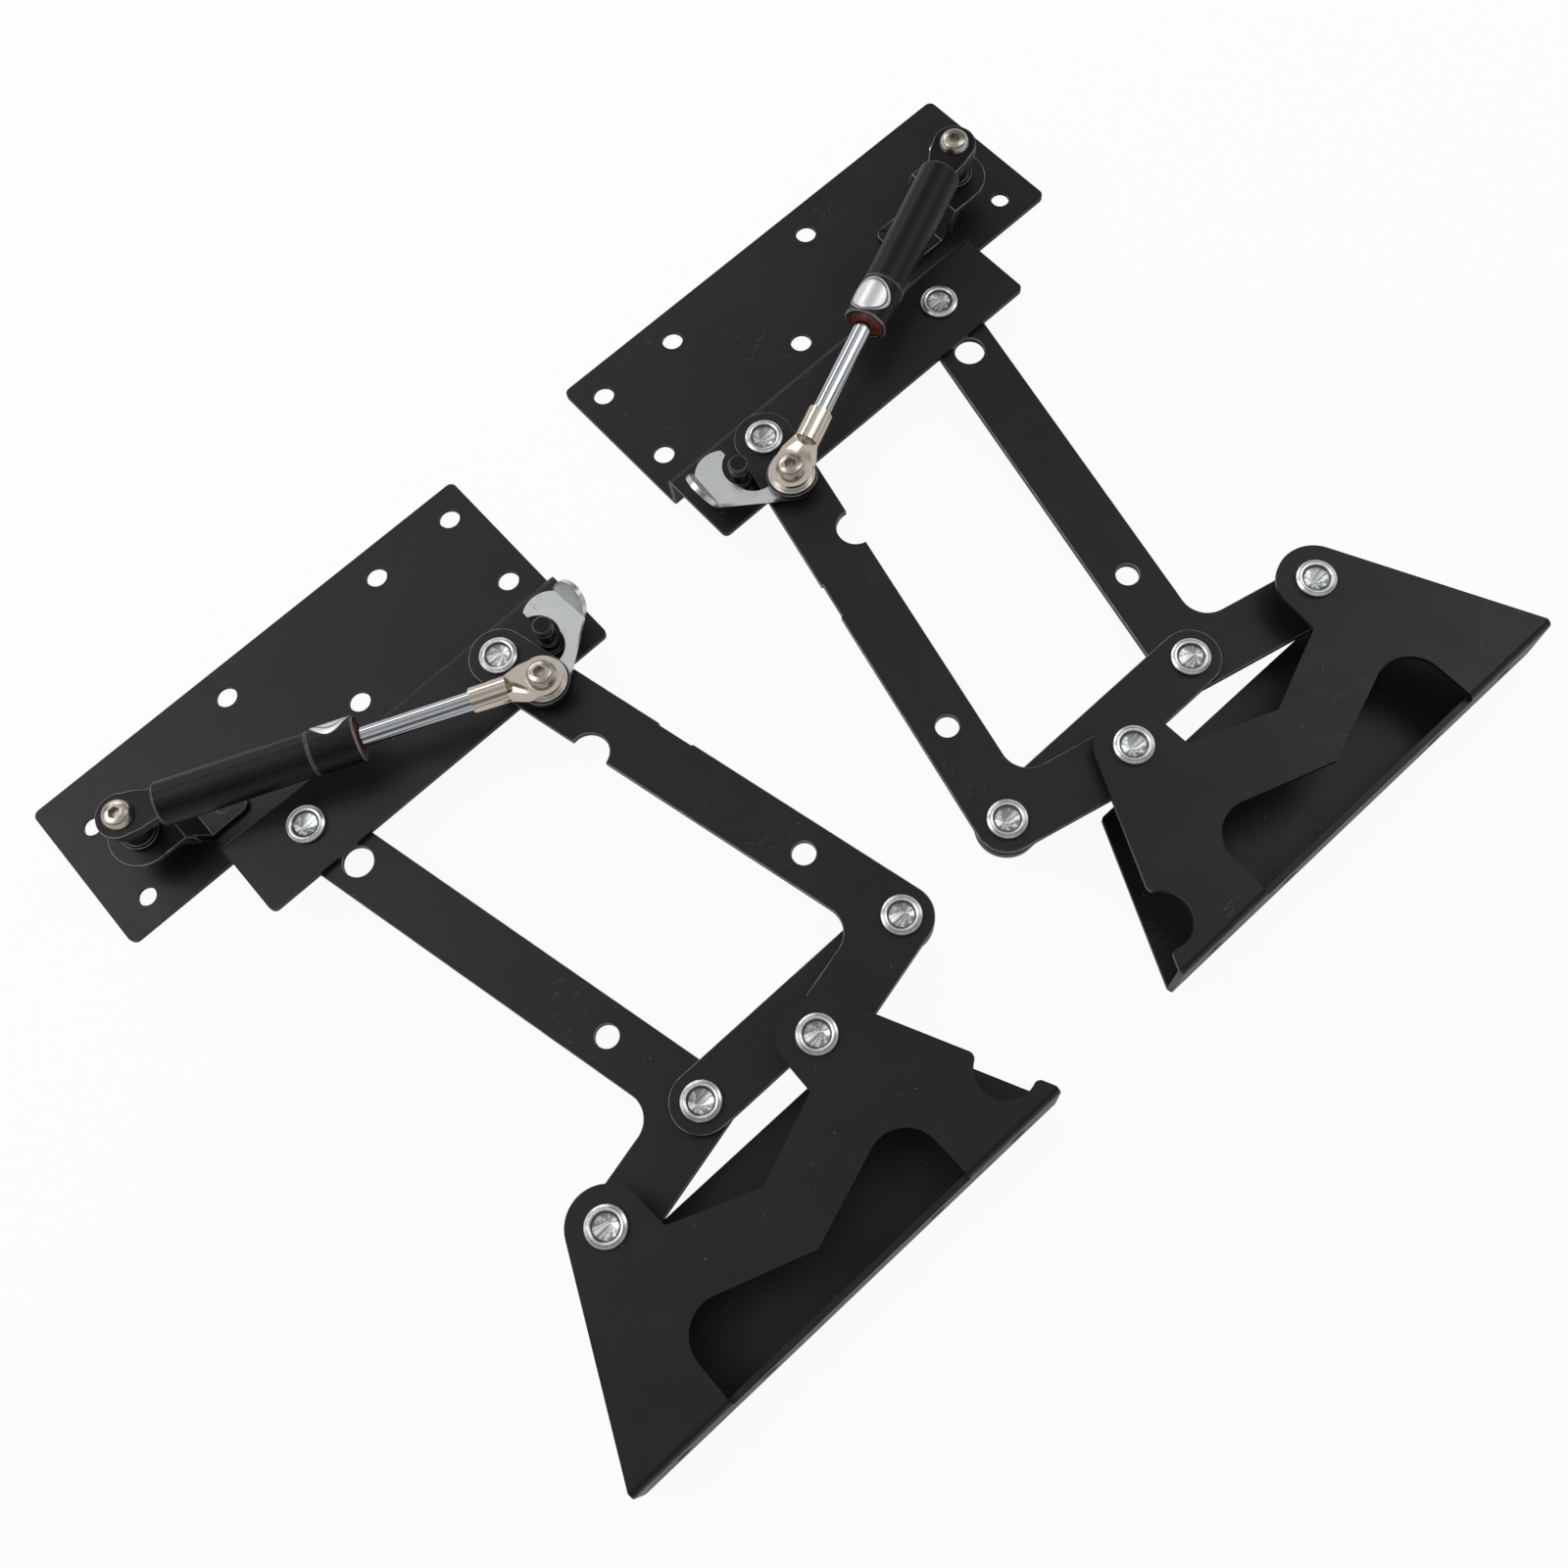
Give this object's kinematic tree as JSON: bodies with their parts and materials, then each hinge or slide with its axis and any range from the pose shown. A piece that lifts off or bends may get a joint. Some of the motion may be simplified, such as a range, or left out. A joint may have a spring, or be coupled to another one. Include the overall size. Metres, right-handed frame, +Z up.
{
  "type": "lift top table mechanism",
  "caption": "Left and right lift-top coffee table hinges: parallel-arm linkages with mounting plates, table-top brackets, gas springs and latch hooks.",
  "frame": {"origin": "centre of the bounding box at floor level, with both units lying on their mounting plates' back faces", "axes": "+X from the left unit to the right unit, +Y from the channel brackets to the mounting plates, +Z up from the floor"},
  "size_m": [0.5074, 0.3654, 0.0478],
  "materials": {
    "black_coat": "satin black powder coat",
    "zinc": "bright zinc plate",
    "steel": "polished stainless",
    "nickel": "warm nickel plate",
    "chrome": "polished",
    "seal": "orange-brown wiper seal",
    "silver_label": "blank silver sticker"
  },
  "bodies": {
    "plates": {"plate_left": "black_coat", "plate_rivets_left": "zinc", "pivot_bush_left": "black_coat", "stop_pin_left": "black_coat", "tail_bracket_left": "black_coat", "plate_right": "black_coat", "plate_rivets_right": "zinc", "pivot_bush_right": "black_coat", "stop_pin_right": "black_coat", "tail_bracket_right": "black_coat"},
    "upper_arm_link_left": {"upper_arm_left": "black_coat", "hook_sleeve_left": "black_coat", "hook_spacer_left": "black_coat", "eye_washer_left": "zinc", "eye_bolt_left": "steel"},
    "hook_link_left": {"hook_left": "zinc"},
    "lower_arm_link_left": {"lower_arm_left": "black_coat"},
    "brace_link_left": {"brace_left": "black_coat", "brace_rivets_left": "zinc", "brace_bush_left": "black_coat"},
    "bracket_link_left": {"bracket_left": "black_coat", "bracket_rivets_left": "zinc", "short_bush_left": "black_coat", "long_bush_left": "black_coat"},
    "rod_link_left": {"rod_left": "chrome", "rod_end_left": "nickel", "piston_left": "steel"},
    "tube_link_left": {"tube_left": "black_coat", "gland_left": "black_coat", "wiper_left": "seal", "label_left": "silver_label", "tail_eye_left": "black_coat", "tail_post_left": "black_coat", "tail_bolt_left": "steel"},
    "upper_arm_link_right": {"upper_arm_right": "black_coat", "hook_sleeve_right": "black_coat", "hook_spacer_right": "black_coat", "eye_washer_right": "zinc", "eye_bolt_right": "steel"},
    "hook_link_right": {"hook_right": "zinc"},
    "lower_arm_link_right": {"lower_arm_right": "black_coat"},
    "brace_link_right": {"brace_right": "black_coat", "brace_rivets_right": "zinc", "brace_bush_right": "black_coat"},
    "bracket_link_right": {"bracket_right": "black_coat", "bracket_rivets_right": "zinc", "short_bush_right": "black_coat", "long_bush_right": "black_coat"},
    "rod_link_right": {"rod_right": "chrome", "rod_end_right": "nickel", "piston_right": "steel"},
    "tube_link_right": {"tube_right": "black_coat", "gland_right": "black_coat", "wiper_right": "seal", "label_right": "silver_label", "tail_eye_right": "black_coat", "tail_post_right": "black_coat", "tail_bolt_right": "steel"}
  },
  "joints": [
    {"name": "fold_left", "type": "hinge", "parent": "plates", "child": "upper_arm_link_left", "pos_m": [-0.07125, 0.09074, 0.0255], "axis": [0, 0, 1], "range_deg": [-93, 0]},
    {"name": "lower_arm_pivot_left", "type": "hinge", "parent": "plates", "child": "lower_arm_link_left", "pos_m": [-0.17125, 0.09074, 0.0162], "axis": [0, 0, 1], "range_deg": [-93, 0]},
    {"name": "brace_pivot_left", "type": "hinge", "parent": "upper_arm_link_left", "child": "brace_link_left", "pos_m": [-0.02729, -0.09668, 0.0195], "axis": [0, 0, 1], "range_deg": [0, 93]},
    {"name": "bracket_pivot_left", "type": "hinge", "parent": "upper_arm_link_left", "child": "bracket_link_left", "pos_m": [-0.08084, -0.10924, 0.0255], "axis": [0, 0, 1], "range_deg": [0, 93]},
    {"name": "hook_pivot_left", "type": "hinge", "parent": "upper_arm_link_left", "child": "hook_link_left", "pos_m": [-0.06554, 0.0664, 0.031], "axis": [0, 0, 1], "range_deg": [-112, 0]},
    {"name": "rod_end_pivot_left", "type": "hinge", "parent": "upper_arm_link_left", "child": "rod_link_left", "pos_m": [-0.06554, 0.0664, 0.0383], "axis": [0, 0, 1], "range_deg": [0, 93.5]},
    {"name": "gas_stroke_left", "type": "slide", "parent": "rod_link_left", "child": "tube_link_left", "axis": [-0.9163, 0.4006, 0], "range_m": [-0.0375, 0]},
    {"name": "fold_right", "type": "hinge", "parent": "plates", "child": "upper_arm_link_right", "pos_m": [0.07125, 0.09074, 0.0255], "axis": [0, 0, 1], "range_deg": [0, 93]},
    {"name": "lower_arm_pivot_right", "type": "hinge", "parent": "plates", "child": "lower_arm_link_right", "pos_m": [0.17125, 0.09074, 0.0162], "axis": [0, 0, 1], "range_deg": [0, 93]},
    {"name": "brace_pivot_right", "type": "hinge", "parent": "upper_arm_link_right", "child": "brace_link_right", "pos_m": [0.02729, -0.09668, 0.0195], "axis": [0, 0, 1], "range_deg": [-93, 0]},
    {"name": "bracket_pivot_right", "type": "hinge", "parent": "upper_arm_link_right", "child": "bracket_link_right", "pos_m": [0.08084, -0.10924, 0.0255], "axis": [0, 0, 1], "range_deg": [-93, 0]},
    {"name": "hook_pivot_right", "type": "hinge", "parent": "upper_arm_link_right", "child": "hook_link_right", "pos_m": [0.06554, 0.0664, 0.031], "axis": [0, 0, 1], "range_deg": [0, 112]},
    {"name": "rod_end_pivot_right", "type": "hinge", "parent": "upper_arm_link_right", "child": "rod_link_right", "pos_m": [0.06554, 0.0664, 0.0383], "axis": [0, 0, 1], "range_deg": [-93.5, 0]},
    {"name": "gas_stroke_right", "type": "slide", "parent": "rod_link_right", "child": "tube_link_right", "axis": [0.9163, 0.4006, 0], "range_m": [-0.0375, 0]}
  ],
  "couplings": [
    {"joint": "lower_arm_pivot_left", "follows": "fold_left", "ratio": 1},
    {"joint": "brace_pivot_left", "follows": "fold_left", "ratio": -1},
    {"joint": "bracket_pivot_left", "follows": "fold_left", "ratio": -1},
    {"joint": "hook_pivot_left", "follows": "fold_left", "ratio": 1.2},
    {"joint": "rod_end_pivot_left", "follows": "fold_left", "ratio": -1.004},
    {"joint": "gas_stroke_left", "follows": "fold_left", "m_per_rad": 0.0228},
    {"joint": "lower_arm_pivot_right", "follows": "fold_right", "ratio": 1},
    {"joint": "brace_pivot_right", "follows": "fold_right", "ratio": -1},
    {"joint": "bracket_pivot_right", "follows": "fold_right", "ratio": -1},
    {"joint": "hook_pivot_right", "follows": "fold_right", "ratio": 1.2},
    {"joint": "rod_end_pivot_right", "follows": "fold_right", "ratio": -1.004},
    {"joint": "gas_stroke_right", "follows": "fold_right", "m_per_rad": -0.0228}
  ]
}
